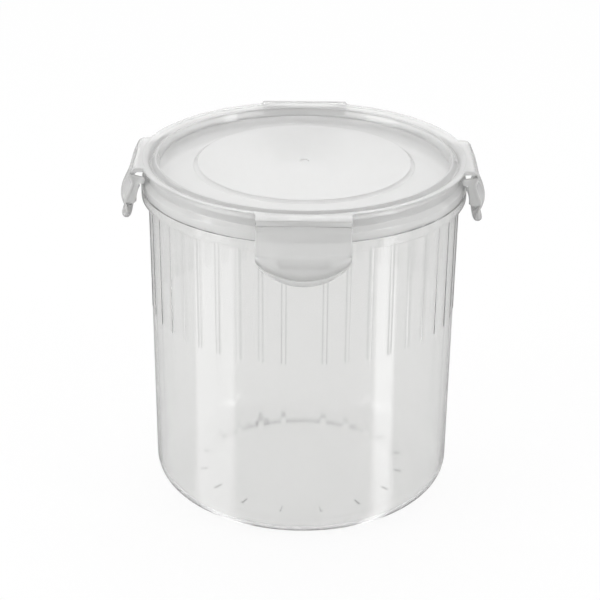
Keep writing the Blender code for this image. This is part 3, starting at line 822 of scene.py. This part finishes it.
@dataclass
class Lid:
    """The lid: raised disc, recessed panel, bead, lip, skirt, plug wall and hinge tabs."""

    finish: bpy.types.Material
    neck_radius: float = 62.9 * MM
    neck_inner: float = 61.5 * MM
    rim_top: float = 139.2 * MM
    flange_radius: float = 66.8 * MM
    flange_top: float = 133.5 * MM
    seal_space: float = 2.7 * MM
    shoulder_wall: float = 1.5 * MM
    bead_rise: float = 1.6 * MM
    bead_width: float = 0.9 * MM
    bead_set_in: float = 0.63 * MM
    bead_slope: float = 0.8 * MM
    bead_foot: float = 1.4 * MM
    panel_depth: float = 3.7 * MM
    plate: float = 1.4 * MM
    disc_radius: float = 43.66 * MM
    disc_rise: float = 1.26 * MM
    disc_slope: float = 1.7 * MM
    gate_radius: float = 1.6 * MM
    gate_depth: float = 0.35 * MM
    plug_gap: float = 0.8 * MM
    plug_wall: float = 1.8 * MM
    plug_depth: float = 3.0 * MM
    skirt_gap: float = 0.4 * MM
    skirt_wall: float = 1.4 * MM
    skirt_setback: float = 0.45 * MM
    skirt_clearance: float = 0.12 * MM
    soft_round: float = 0.8 * MM
    seat_round: float = 0.2 * MM
    cove_depth: float = 0.35 * MM
    step_height: float = 1.8 * MM
    step_level: float = 3.4 * MM
    lip_reach: float = 2.05 * MM
    lip_rise: float = 1.9 * MM
    lip_edge: float = 1.2 * MM
    lip_round: float = 0.45 * MM
    ramp_start: float = 0.5 * MM
    ramp: float = 2.9 * MM
    ramp_shares: tuple[tuple[float, float], ...] = ((0.0, 0.0), (0.28, 0.57), (0.59, 0.86), (1.0, 1.0))
    tab_width: float = 36.8 * MM
    tab_wall: float = 1.9 * MM
    tab_step: float = 0.15 * MM
    tab_rise_share: float = 0.3
    tab_round: float = 3.0 * MM
    tab_turn: float = radians(60)
    tab_fillet: float = 3.0 * MM
    tab_edge: float = 0.45 * MM
    gusset_inset: float = 1.3 * MM
    steps: int = 256
    ramp_parts: int = 4
    rise_parts: int = 3
    edge_steps: int = 4
    bend_steps: int = 12
    under_steps: int = 6
    half_stations: int = 10
    fillet_steps: int = 14

    @property
    def ceiling(self) -> float:
        """Height of the seal channel's ceiling."""
        return self.rim_top + self.seal_space

    @property
    def valley(self) -> float:
        """Height of the valley between the bead and the lip."""
        return self.ceiling + self.shoulder_wall

    @property
    def shoulder_radius(self) -> float:
        """Outer radius of the wall under the lip."""
        return self.neck_radius + self.skirt_gap + self.skirt_wall

    @property
    def plug_outer(self) -> float:
        """Outer radius of the plug wall."""
        return self.neck_inner - self.plug_gap

    @property
    def ramp_radius(self) -> float:
        """Radius where the ramp from the valley to the lip begins."""
        return (self.plug_outer - self.bead_set_in + self.bead_width + self.bead_foot
                + self.ramp_start)

    @property
    def lip_top(self) -> float:
        """Height of the lip's flat top."""
        return self.valley + self.lip_rise

    @property
    def lip_crest(self) -> float:
        """Radius where the lip and the tabs start to round over."""
        return self.shoulder_radius + self.lip_reach

    @property
    def tab_top(self) -> float:
        """Height of the tabs' flat top."""
        return self.lip_top + self.tab_step

    @property
    def tab_inner(self) -> float:
        """Radius inside the lip where the tabs begin."""
        return self.ramp_radius + self.ramp

    def top_profile(self) -> Profile:
        """Outline of the lid's top.

        Returns:
            Points from the middle of the disc over the bead and up the ramp to the lip.
        """
        bead_inner = self.plug_outer - self.bead_set_in
        bead_outer = bead_inner + self.bead_width
        bead_top = self.valley + self.bead_rise
        crest = self.bead_width / 2
        panel = bead_top - self.panel_depth
        disc = panel + self.disc_rise
        soft = self.soft_round / 2
        line = rounded([
            (0, disc - self.gate_depth, 0),
            (self.gate_radius, disc - self.gate_depth, self.gate_depth / 2),
            (self.gate_radius + self.gate_depth, disc, self.gate_depth / 2),
            (self.disc_radius, disc, soft),
            (self.disc_radius + self.disc_slope, panel, soft),
            (bead_inner - self.bead_slope, panel, soft),
            (bead_inner, bead_top, crest),
            (bead_outer, bead_top, crest),
            (bead_outer + self.bead_foot, self.valley, soft),
            (self.ramp_radius, self.valley, 0)])
        ramp = smooth_line([
            (self.ramp_radius + self.ramp * reach, self.valley + self.lip_rise * share)
            for reach, share in self.ramp_shares], self.ramp_parts)
        return line + ramp[1:-1]

    def under_profile(self) -> Profile:
        """Outline of the lid's lip, skirt and underside.

        Returns:
            Points from the lip over the skirt and the plug wall to the middle below.
        """
        panel = self.valley + self.bead_rise - self.panel_depth
        disc = panel + self.disc_rise
        skirt_bottom = self.flange_top + self.skirt_clearance
        skirt = self.flange_radius - self.skirt_setback
        skirt_inner = self.neck_radius + self.skirt_gap
        step_low = skirt_bottom + self.step_level
        step_top = step_low + self.step_height
        lip_bottom = self.lip_top - self.lip_edge
        lip_radius = self.lip_crest + self.lip_round
        cove = (lip_bottom + step_top) / 2
        plug_bottom = panel - self.plate - self.plug_depth
        plug_inner = self.plug_outer - self.plug_wall
        soft = self.soft_round / 2
        return rounded([
            (self.tab_inner, self.lip_top, 0),
            (lip_radius, self.lip_top, self.lip_round),
            (lip_radius, lip_bottom, self.lip_round),
            (self.shoulder_radius, lip_bottom, self.soft_round),
            (self.shoulder_radius - self.cove_depth, cove, self.soft_round),
            (self.shoulder_radius, step_top, self.soft_round),
            (skirt, step_low, self.soft_round),
            (skirt, skirt_bottom, self.seat_round),
            (skirt - self.skirt_wall, skirt_bottom, self.seat_round),
            (skirt - self.skirt_wall, step_low - self.step_height / 2, soft),
            (skirt_inner, step_top - self.step_height / 2, soft),
            (skirt_inner, self.ceiling, soft),
            (self.plug_outer, self.ceiling, soft),
            (self.plug_outer, plug_bottom, soft),
            (plug_inner, plug_bottom, soft),
            (plug_inner, panel - self.plate, soft),
            (self.disc_radius + self.disc_slope, panel - self.plate, soft),
            (self.disc_radius, disc - self.plate, soft),
            (0, disc - self.plate, 0)])

    def tab_section(self, across: float, thinner: float) -> Profile:
        """Closed outline of a tab at a distance from its middle.

        Args:
            across: Distance from the tab's middle.
            thinner: How far the outline draws in at its rounded sides.

        Returns:
            Points from inside the lip over the top, round to the film and back below.
        """
        inner = at_radius(self.tab_inner, across)
        crest = at_radius(self.lip_crest - self.lip_round, across)
        rise = smooth_line([
            (inner, self.lip_top - self.tab_step - thinner),
            (inner + (crest - inner) / 2, self.lip_top + self.tab_step * self.tab_rise_share - thinner),
            (crest, self.tab_top - thinner)], self.rise_parts)
        middle = (self.lip_crest, self.tab_top - self.tab_round)
        end = pi / 2 - self.tab_turn
        bend = arc(middle, self.tab_round - thinner, pi / 2, end, self.bend_steps)
        under = self.tab_round - self.tab_wall + thinner
        under_bend = arc(middle, under, end, pi / 2, self.under_steps)
        root = at_radius(self.shoulder_radius - self.lip_round, across)
        return rise + bend + under_bend + [(root, self.tab_top - self.tab_wall + thinner)]

    def tab(self, side: Side) -> bpy.types.Object:
        """Makes one raised hinge tab with rounded sides.

        Args:
            side: The side that the tab is on.

        Returns:
            The tab in its place.
        """
        flat = self.tab_width / 2 - self.tab_edge
        turns = [pi / 2 * step / self.edge_steps for step in range(1, self.edge_steps + 1)]
        rounds = [(flat + self.tab_edge * sin(t), self.tab_edge * (1 - cos(t))) for t in turns]
        columns = [(-across, thinner) for across, thinner in rounds[::-1]]
        columns += [(flat * step / self.half_stations, 0.0)
                    for step in range(-self.half_stations, self.half_stations + 1)]
        columns += rounds
        return lofted("tab_" + side.label, [
            [at_azimuth((reach, across, height), side.azimuth)
             for reach, height in self.tab_section(across, thinner)]
            for across, thinner in columns])

    def gusset(self, side: Side, hand: int) -> bpy.types.Object:
        """Makes the fillet in the corner between a tab's side and the lip's edge.

        Args:
            side: The side that the tab is on.
            hand: 1 or -1 for the tab's two sides.

        Returns:
            The fillet in its place.
        """
        half = self.tab_width / 2
        fillet_y = half + self.tab_fillet
        fillet_x = at_radius(self.lip_crest + self.tab_fillet, fillet_y)
        meets = pi + atan2(fillet_y, fillet_x)
        line = [(fillet_x, half - self.gusset_inset)]
        line += arc((fillet_x, fillet_y), self.tab_fillet, 3 * pi / 2, meets, self.fillet_steps)
        top = self.tab_top - self.tab_step / 2
        low = top - self.lip_edge
        soft = self.lip_round
        rings = []
        for reach, across in line:
            inner = at_radius(self.tab_inner, across)
            edge = arc((reach - soft, top - soft), soft, pi / 2, 0, self.edge_steps)
            edge += arc((reach - soft, low + soft), soft, 0, -pi / 2, self.edge_steps)
            section = [(inner, top - self.tab_step)] + edge + [(inner, low)]
            rings.append([
                at_azimuth((out, hand * across, height), side.azimuth) for out, height in section])
        return lofted("gusset_" + side.label, rings)

    def build(self) -> bpy.types.Object:
        """Builds the lid and puts it on its body.

        Returns:
            The lid.
        """
        shell = turned("lid_shell", self.top_profile() + self.under_profile(), self.steps)
        parts = []
        for side in Side:
            parts.append(self.tab(side))
            parts += [self.gusset(side, hand) for hand in (-1, 1)]
        piece = united("clear_lid", shell, parts)
        dress(piece, self.finish)
        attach(piece, "lid")
        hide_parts("lid")
        return piece


@dataclass
class SealRing:
    """The soft ring in the channel under the lid's shoulder."""

    finish: bpy.types.Material
    inner: float = 61.0 * MM
    outer: float = 63.0 * MM
    low: float = 139.5 * MM
    high: float = 141.6 * MM
    soft: float = 0.5 * MM
    groove: float = 0.25 * MM
    steps: int = 192
    round_steps: int = 4

    def build(self) -> bpy.types.Object:
        """Builds the seal with a shallow groove in its lower face, and puts it on the lid.

        Returns:
            The seal.
        """
        middle = (self.inner + self.outer) / 2
        profile = rounded([
            (middle, self.high, 0),
            (self.outer, self.high, self.soft),
            (self.outer, self.low, self.soft),
            (middle + self.groove * 2, self.low, self.groove),
            (middle, self.low + self.groove, self.groove),
            (middle - self.groove * 2, self.low, self.groove),
            (self.inner, self.low, self.soft),
            (self.inner, self.high, self.soft),
            (middle, self.high, 0)], self.round_steps)[:-1]
        piece = turned("soft_seal", profile, self.steps, closed=True)
        dress(piece, self.finish)
        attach(piece, "lid")
        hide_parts("seal_ring")
        return piece


@dataclass
class Flap:
    """One clip flap with its catch, side ribs and hooked finger lip, and its film hinge.

    Its shape is drawn in its latched place, with the hinge at the origin, X outwards, Y across
    and Z up.
    """

    side: Side
    finish: bpy.types.Material
    hinge: tuple[float, float] = (69.60 * MM, 143.17 * MM)
    half_width: float = 18.4 * MM
    wall: float = 1.7 * MM
    bulge: float = 1.6 * MM
    upper_shares: tuple[tuple[float, float], ...] = (
        (0.077, 0.060), (0.149, 0.100), (0.266, 0.160), (0.440, 0.310), (0.600, 0.570),
        (0.750, 0.850), (0.880, 1.000))
    lower_shares: tuple[tuple[float, float], ...] = (
        (0.20, 0.08), (0.42, 0.37), (0.58, 0.68), (0.72, 0.87), (0.89, 1.00))
    corner_share: float = 0.15
    round_share: float = 0.6
    crown_share: float = 0.32
    tongue: float = 12.4 * MM
    tongue_draw: float = 5.0 * MM
    hook_lean: float = radians(14)
    hook_radius: float = 1.35 * MM
    hook_wall: float = 1.3 * MM
    hook_tip: float = 0.8 * MM
    hook_tip_share: float = 0.45
    edge: float = 0.5 * MM
    edge_end_share: float = 0.93
    edge_thin_share: float = 0.1
    catch_top: float = 128.9 * MM
    catch_tip: float = 65.2 * MM
    catch_height: float = 3.6 * MM
    catch_end_share: float = 0.4
    catch_half: float = 10.0 * MM
    catch_round: float = 0.6 * MM
    flange_clear: float = 67.3 * MM
    recess_clear: float = 65.6 * MM
    recess_low: float = 3.0 * MM
    tab_under: float = 143.05 * MM
    rib_wall: float = 1.3 * MM
    rib_clear: float = 0.5 * MM
    rib_round: float = 1.2 * MM
    rib_edge: float = 0.25 * MM
    rib_inset: float = 0.1 * MM
    film_turn: float = radians(60)
    film_half: float = 0.8 * MM
    film_wall: float = 0.34 * MM
    film_flare_share: float = 0.9
    film_margin: float = 0.5 * MM
    film_ease: float = 0.03 * MM
    parts: int = 3
    hook_steps: int = 6
    edge_steps: int = 5
    half_columns: int = 14
    catch_parts: int = 12
    nose_steps: int = 5
    rib_parts: int = 12
    film_parts: int = 6
    film_columns: int = 12

    @property
    def drop(self) -> float:
        """Depth of the catch below the hinge."""
        return self.hinge[1] - self.catch_top

    def middle_line(self) -> list[Point]:
        """Middle line of the wall and hook at the flap's centre.

        Returns:
            Points from the hinge down, each with the wall's thickness.
        """
        line = [(self.bulge * out, -self.drop * down, self.wall) for down, out in self.upper_shares]
        hip_x, hip_z, _ = line[-1]
        tongue = self.tongue - self.hook_radius
        for down, draw in self.lower_shares:
            wall = self.wall + (self.hook_wall - self.wall) * down
            line.append((hip_x - self.tongue_draw * draw, hip_z - tongue * down, wall))
        start_x, start_z, _ = line[-1]
        heading = -pi / 2 - self.hook_lean
        centre = (start_x + self.hook_radius * cos(heading + pi / 2),
                  start_z + self.hook_radius * sin(heading + pi / 2))
        hook = arc(centre, self.hook_radius, heading - pi / 2, heading + pi / 2, self.hook_steps)
        line += [(x, z, self.hook_wall) for x, z in hook[1:]]
        tip = (hook[-1][0] - self.hook_tip * cos(heading), hook[-1][1] - self.hook_tip * sin(heading))
        line.append((*tip, self.hook_wall * self.hook_tip_share))
        return line

    def column(self, across: float) -> list[Point]:
        """Smooth middle line of the flap at a distance from its centre.

        Args:
            across: Distance from the centre.

        Returns:
            Points from the hinge down, each with the wall's thickness.
        """
        line = self.middle_line()
        hip = len(self.upper_shares) - 1
        hip_x, hip_z, _ = line[hip]
        inside = max(1 - (across / self.half_width) ** 2, 0)
        curve = self.round_share * sqrt(inside) + (1 - self.round_share) * inside
        share = self.corner_share + (1 - self.corner_share) * curve
        crown_radius = self.hinge[0] + self.bulge
        crown = crown_radius - at_radius(crown_radius, across)
        column = []
        for number, (x, z, wall) in enumerate(line):
            if number > hip:
                x = hip_x + (x - hip_x) * share
                z = hip_z + (z - hip_z) * share
                wall = wall * share
            back = crown * smooth_step(-z / (self.drop * self.crown_share))
            column.append((x - back, z, wall))
        return smooth_line(column, self.parts)

    def section(self, across: float, thinness: float) -> Profile:
        """Closed outline of the flap's wall at a distance from its centre."""
        return thickened([(x, z, wall * thinness) for x, z, wall in self.column(across)])

    def wall_middle(self, across: float, depth: float) -> float:
        """Where the middle of the flap's wall is.

        Args:
            across: Distance from the flap's centre.
            depth: Depth below the hinge.

        Returns:
            How far out from the hinge the middle is.
        """
        column = self.column(across)
        for (x0, z0, _), (x1, z1, _) in zip(column, column[1:]):
            if z1 <= -depth <= z0:
                return x0 + (x1 - x0) * (z0 + depth) / (z0 - z1)
        return column[0][0]

    def wall_body(self) -> bpy.types.Object:
        """Makes the flap's curved wall with rounded sides.

        Returns:
            The wall in its latched place.
        """
        flat = self.half_width - self.edge
        turns = [pi / 2 * step / self.edge_steps for step in range(1, self.edge_steps)]
        turns.append(pi / 2 * self.edge_end_share)
        sides = [(flat + self.edge * sin(turn), max(cos(turn), self.edge_thin_share)) for turn in turns]
        columns = [(-across, thinness) for across, thinness in sides[::-1]]
        columns += [(flat * sin(pi / 2 * (step / self.half_columns)), 1.0)
                    for step in range(-self.half_columns, self.half_columns + 1)]
        columns += sides
        return lofted("flap_wall", [
            [(x, across, z) for x, z in self.section(across, thinness)] for across, thinness in columns])

    def catch(self) -> bpy.types.Object:
        """Makes the wedge that hooks under the container's flange and runs out at its ends.

        Returns:
            The catch in its latched place.
        """
        low = self.drop + self.catch_height
        rings = []
        for step in range(self.catch_parts + 1):
            across = self.catch_half * (2 * step / self.catch_parts - 1)
            root = self.wall_middle(across, self.drop)
            share = self.catch_end_share if step in (0, self.catch_parts) else 1
            tip = root + (at_radius(self.catch_tip, across) - self.hinge[0] - root) * share
            nose = arc((tip + self.catch_round, -self.drop - self.catch_round), self.catch_round,
                       5 * pi / 4, pi / 2, self.nose_steps)
            line = nose + [(root, -self.drop), (self.wall_middle(across, low), -low)]
            rings.append([(x, across, z) for x, z in line])
        return lofted("catch", rings)

    def side_rib(self, hand: int) -> bpy.types.Object:
        """Makes the stiffening wall along one side of the flap.

        Args:
            hand: 1 or -1 for the flap's two sides.

        Returns:
            The rib in its latched place.
        """
        outer = self.half_width - self.rib_inset
        inner = outer - self.rib_wall
        edge = at_radius(self.flange_clear, inner) - self.hinge[0]
        reach = at_radius(self.recess_clear, inner) - self.hinge[0]
        top = self.hinge[1] - self.tab_under + self.rib_clear
        bottom = self.drop * self.upper_shares[-1][0]
        depths = [top + (bottom - top) * step / self.rib_parts for step in range(self.rib_parts + 1)]
        soft = self.rib_edge
        rings = []
        for across, pull in ((inner, soft), (inner + soft, 0), (outer - soft, 0), (outer, soft)):
            line = [(self.wall_middle(hand * across, depth), -depth) for depth in depths]
            line += arc((edge + self.rib_round, self.rib_round - bottom), self.rib_round - pull,
                        3 * pi / 2, pi, self.nose_steps)
            line += [(edge + pull, -self.recess_low - self.rib_clear),
                     (reach + pull, -self.recess_low),
                     (reach + pull, -top - self.rib_clear),
                     (reach + self.rib_clear + pull, -top)]
            rings.append([(x, hand * across, z) for x, z in line])
        return lofted("side_rib", rings)

    def hinge_place(self) -> Matrix:
        """Place of the hinge on its side of the lid.

        Returns:
            The move from the origin to the hinge.
        """
        turn = self.side.azimuth
        reach, height = self.hinge
        return (Matrix.Translation((reach * cos(turn), reach * sin(turn), height))
                @ Matrix.Rotation(turn, 4, "Z"))

    def film_ends(self) -> Profile:
        """Ends of the film's middle line as the flap hangs.

        Returns:
            The end on the tab and the end on the flap, from the hinge.
        """
        turn = self.film_turn
        lean = self.side.lean
        reach = self.film_half - self.film_ease
        x, z, _ = self.middle_line()[0]
        return [(-reach * cos(turn), reach * sin(turn)),
                (x * cos(lean) - z * sin(lean), x * sin(lean) + z * cos(lean))]

    def film(self) -> bpy.types.Object:
        """Makes the film hinge, a web thin in its middle, and bends it between its bodies.

        Returns:
            The film in its place.
        """
        start, end = self.film_ends()
        line = smooth_line([start, (0.0, 0.0), (end[0], end[1] + self.film_ease)], self.film_parts)
        strip = []
        for number, (x, z) in enumerate(line):
            share = abs(2 * number / (len(line) - 1) - 1)
            strip.append((x, z, self.film_wall * (1 + self.film_flare_share * share ** 3)))
        outline = thickened(strip)
        half = self.half_width - self.film_margin
        widths = [-half + 2 * half * step / self.film_columns for step in range(self.film_columns + 1)]
        piece = lofted("film_web_" + self.side.label, [
            [(x, across, z) for x, z in outline] for across in widths])
        place = self.hinge_place()
        piece.data.transform(place)
        dress(piece, self.finish)
        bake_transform(piece)
        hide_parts("film_hinge_" + self.side.label)
        return piece

    def build(self) -> list[bpy.types.Object]:
        """Builds the flap and its film hinge, and puts the flap on its body.

        Returns:
            The flap and the film.
        """
        label = self.side.label
        piece = united("clip_" + label, self.wall_body(), (
            self.catch(), self.side_rib(-1), self.side_rib(1)))
        piece.data.transform(self.hinge_place() @ Matrix.Rotation(-self.side.lean, 4, "Y"))
        dress(piece, self.finish)
        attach(piece, "flap_" + label)
        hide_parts("flap_" + label)
        return [piece, self.film()]


# Studio

@dataclass(frozen=True)
class Softbox:
    """A soft area lamp: its place, its width and height, and its power in watts."""

    name: str
    place: Point
    size: tuple[float, float]
    power: float

    def build(self, aim: Point) -> None:
        """Sets the lamp.

        Args:
            aim: The point that the lamp looks at.
        """
        data = bpy.data.lights.new(self.name, "AREA")
        data.shape = "RECTANGLE"
        data.size, data.size_y = self.size
        data.energy = self.power
        item = bpy.data.objects.new(self.name, data)
        item.location = self.place
        way = Vector(aim) - Vector(self.place)
        item.rotation_euler = way.to_track_quat("-Z", "Y").to_euler()
        bpy.context.collection.objects.link(item)


@dataclass(frozen=True)
class BrightField:
    """A bright field of the floor that only reflections see, as an upright band in the wall.

    Its two angles say where on the wall the band's edges show, from the front. The field is
    bounded by the two lines along which the camera's ray leaves the wall at those edges.
    """

    first: float
    last: float
    level: float
    edge: float = 12.0 * MM
    wall_radius: float = 63.5 * MM

    def light(self, tree: bpy.types.NodeTree, where: bpy.types.NodeSocket) -> bpy.types.NodeSocket:
        """How bright the field makes a point of the floor.

        Args:
            tree: Node tree of the floor's finish.
            where: The point's object coordinates.

        Returns:
            A socket with the field's level inside it and 0 outside.
        """
        edges = []
        for turn, hand, level in ((self.first, 1, self.level), (self.last, -1, 1)):
            across = (hand * cos(2 * turn), hand * sin(2 * turn), 0)
            start = (self.wall_radius * sin(turn), -self.wall_radius * cos(turn), 0)
            offset = Vector(across).dot(start)
            reach = add_node(tree, "ShaderNodeVectorMath", {0: where, 1: across}, operation="DOT_PRODUCT")
            edges.append(add_node(tree, "ShaderNodeMapRange", {
                "Value": reach.outputs["Value"], "From Min": offset - self.edge / 2,
                "From Max": offset + self.edge / 2, "To Max": level},
                interpolation_type="SMOOTHSTEP").outputs["Result"])
        return reckon(tree, "MULTIPLY", *edges)


@dataclass
class Studio:
    """White floor, plain soft light and the photograph's camera."""

    focal_pixels: float = 1854.2951
    frame_pixels: float = 600.0
    pitch: float = radians(24.7019)
    roll: float = radians(-0.5678)
    distance: float = 786.19 * MM
    target: Point = (-1.16 * MM, 0, 79.634 * MM)
    sensor: float = 36.0
    near_clip: float = 10.0 * MM
    floor_radius: float = 12.0
    floor_segments: int = 64
    floor_drop: float = 0.3 * MM
    floor_tone: float = 0.9
    glow_share: float = 0.92
    mirrored_floor: float = 0.35
    fields: tuple[BrightField, ...] = (
        BrightField(radians(-45), radians(-27), level=2.0),
        BrightField(radians(29), radians(37.5), level=3.3))
    fade: tuple[float, float] = (230.0 * MM, 350.0 * MM)
    fade_share: float = 0.1
    front_heading: float = -0.9
    front_light: float = 0.4
    side_heading: float = 0.2
    side_light: float = 0.88
    lamps: tuple[Softbox, ...] = (
        Softbox("left_softbox", (-1.0, -0.45, 0.55), (0.6, 0.9), power=5.2),
        Softbox("right_strip", (0.95, -0.5, 0.5), (0.22, 0.9), power=3.0),
        Softbox("top_softbox", (0.0, 0.5, 1.4), (1.2, 0.8), power=5.0))
    lamp_aim: Point = (0.0, 0.0, 80.0 * MM)

    def camera(self) -> None:
        """Sets the camera that was fitted to the photograph."""
        back = Vector((0, -cos(self.pitch), sin(self.pitch)))
        right = Vector((1, 0, 0))
        up = Vector((0, sin(self.pitch), cos(self.pitch)))
        across = right * cos(self.roll) - up * sin(self.roll)
        upright = right * sin(self.roll) + up * cos(self.roll)
        turn = Matrix((across, upright, back)).transposed().to_4x4()
        data = bpy.data.cameras.new("photo_camera")
        data.sensor_width = self.sensor
        data.lens = self.focal_pixels / self.frame_pixels * self.sensor
        data.clip_start = self.near_clip
        item = bpy.data.objects.new("photo_camera", data)
        item.matrix_world = Matrix.Translation(Vector(self.target) + back * self.distance) @ turn
        bpy.context.collection.objects.link(item)
        bpy.context.scene.camera = item

    def mirrored_light(self, tree: bpy.types.NodeTree) -> bpy.types.NodeSocket:
        """How bright the floor is in reflections: dim, but for the bright fields near by.

        Args:
            tree: Node tree of the floor's finish.

        Returns:
            A socket with the brightness.
        """
        where = tree.nodes.new("ShaderNodeTexCoord").outputs["Object"]
        total: object = 0
        for bright in self.fields:
            total = reckon(tree, "ADD", total, bright.light(tree, where))
        fade = add_node(tree, "ShaderNodeMapRange", {
            "Value": from_axis(tree, where), "From Min": self.fade[0], "From Max": self.fade[1],
            "To Min": 1, "To Max": self.fade_share}, interpolation_type="SMOOTHSTEP")
        return reckon(tree, "MULTIPLY_ADD", total, fade.outputs["Result"], self.mirrored_floor)

    def floor(self) -> None:
        """Lays a wide white floor that keeps a soft shadow."""
        sketch = bmesh.new()
        bmesh.ops.create_circle(
            sketch, cap_ends=True, segments=self.floor_segments, radius=self.floor_radius)
        floor = finished("studio_floor", sketch)
        floor.location.z = -self.floor_drop
        material = bpy.data.materials.new("white_floor")
        material.use_nodes = True
        tree = material.node_tree
        tree.nodes.remove(tree.nodes["Principled BSDF"])
        tone = self.floor_tone
        paint = add_node(tree, "ShaderNodeBsdfDiffuse", {"Color": (tone, tone, tone, 1)})
        path = tree.nodes.new("ShaderNodeLightPath").outputs
        mirrored = reckon(tree, "GREATER_THAN", path["Is Glossy Ray"], path["Is Transmission Ray"])
        strength = add_node(tree, "ShaderNodeMix", {
            "Factor": mirrored, "A": 1, "B": self.mirrored_light(tree)})
        glow = add_node(tree, "ShaderNodeEmission", {"Strength": strength.outputs["Result"]})
        seen = reckon(tree, "MAXIMUM", path["Is Camera Ray"], path["Is Glossy Ray"])
        seen = reckon(tree, "MAXIMUM", seen, path["Is Transmission Ray"])
        share = reckon(tree, "MULTIPLY", seen, self.glow_share)
        mix = add_node(tree, "ShaderNodeMixShader", {
            "Fac": share, 1: paint.outputs[0], 2: glow.outputs[0]})
        fill(tree, tree.nodes["Material Output"], {"Surface": mix.outputs[0]})
        floor.data.materials.append(material)

    def world(self) -> None:
        """Sets plain soft light from all round, white where it is seen as the background."""
        world = bpy.data.worlds.new("soft_studio")
        world.use_nodes = True
        bpy.context.scene.world = world
        tree = world.node_tree
        way = tree.nodes.new("ShaderNodeTexCoord").outputs["Generated"]
        heading = add_node(tree, "ShaderNodeSeparateXYZ", {0: way})
        tone = add_node(tree, "ShaderNodeMapRange", {
            "Value": heading.outputs["Y"], "From Min": self.front_heading,
            "From Max": self.side_heading, "To Min": self.front_light, "To Max": self.side_light})
        path = tree.nodes.new("ShaderNodeLightPath").outputs
        direct = reckon(tree, "MAXIMUM", path["Is Camera Ray"], path["Is Transmission Ray"])
        seen = add_node(tree, "ShaderNodeMapRange", {
            "Value": direct, "To Min": tone.outputs["Result"], "To Max": 1})
        fill(tree, tree.nodes["Background"], {"Color": seen.outputs["Result"]})

    def build(self) -> None:
        """Sets the floor, the light, the plain view and the camera."""
        bpy.context.scene.view_settings.view_transform = "Standard"
        self.floor()
        self.world()
        for lamp in self.lamps:
            lamp.build(self.lamp_aim)
        self.camera()


def main() -> None:
    """Builds the studio and every piece of the canister, and reports each piece."""
    logging.basicConfig(level=logging.INFO, format="%(name)s: %(message)s")
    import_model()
    Studio().build()
    # The flaps and film hinges share the clip finish, whose greyer tint is painted shade.
    shaded_clip = SHADED_CLIP.build()
    pieces = [
        Container(CLEAR_WALL.build()).build(), Lid(HAZY_LID.build()).build(),
        SealRing(SoftSeal().build()).build()]
    for side in Side:
        pieces += Flap(side, shaded_clip).build()
    for piece in pieces:
        LOG.info("%s: %d faces", piece.name, len(piece.data.polygons))


if __name__ == "__main__":
    main()
